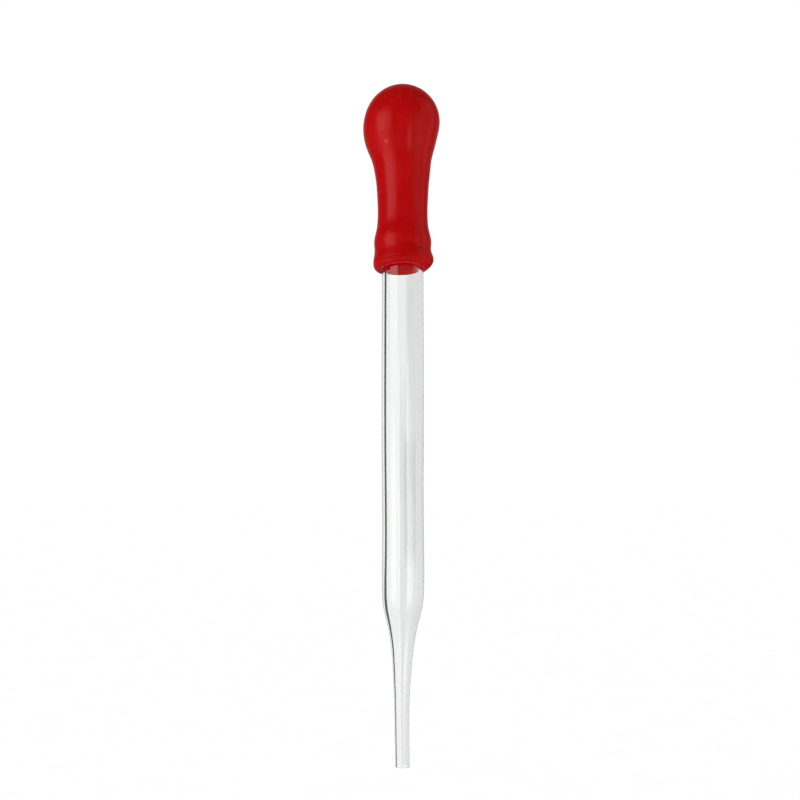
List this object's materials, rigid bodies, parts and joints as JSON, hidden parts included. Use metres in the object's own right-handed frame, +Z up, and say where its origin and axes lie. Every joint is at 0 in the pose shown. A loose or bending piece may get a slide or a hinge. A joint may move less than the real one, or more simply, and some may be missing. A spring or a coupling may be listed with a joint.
{
  "type": "medicine dropper",
  "caption": "Medicine dropper: a clear glass tube drawn to a slender tip, with a red rubber bulb on its upper end that is squeezed to draw liquid and pulls off for cleaning.",
  "frame": {"origin": "centre of the glass tube's tip end, the lowest point of the object", "axes": "+Z up along the tube's axis from the tip to the bulb's crown, +X to the right when the dropper is seen from the front, +Y away from the viewer; the bulb is squeezed along X"},
  "size_m": [0.0142, 0.0142, 0.1239],
  "materials": {
    "clear_glass": "clear drawn glass with fire-polished ends",
    "red_rubber": "satin moulded rubber"
  },
  "bodies": {
    "glass": {"glass_tube": "clear_glass"},
    "bulb": {"rubber_bulb": "red_rubber"},
    "left_wall": {"squeeze_wall_left": "red_rubber"},
    "right_wall": {"squeeze_wall_right": "red_rubber"}
  },
  "joints": [
    {"name": "bulb_pull_off", "type": "slide", "parent": "glass", "child": "bulb", "axis": [0, 0, 1], "range_m": [0, 0.014]},
    {"name": "squeeze_left", "type": "slide", "parent": "bulb", "child": "left_wall", "axis": [1, 0, 0], "range_m": [0, 0.0035], "stiffness_N_per_m": 1500},
    {"name": "squeeze_right", "type": "slide", "parent": "bulb", "child": "right_wall", "axis": [-1, 0, 0], "range_m": [0, 0.0035]}
  ],
  "couplings": [
    {"joint": "squeeze_right", "follows": "squeeze_left", "ratio": 1}
  ]
}
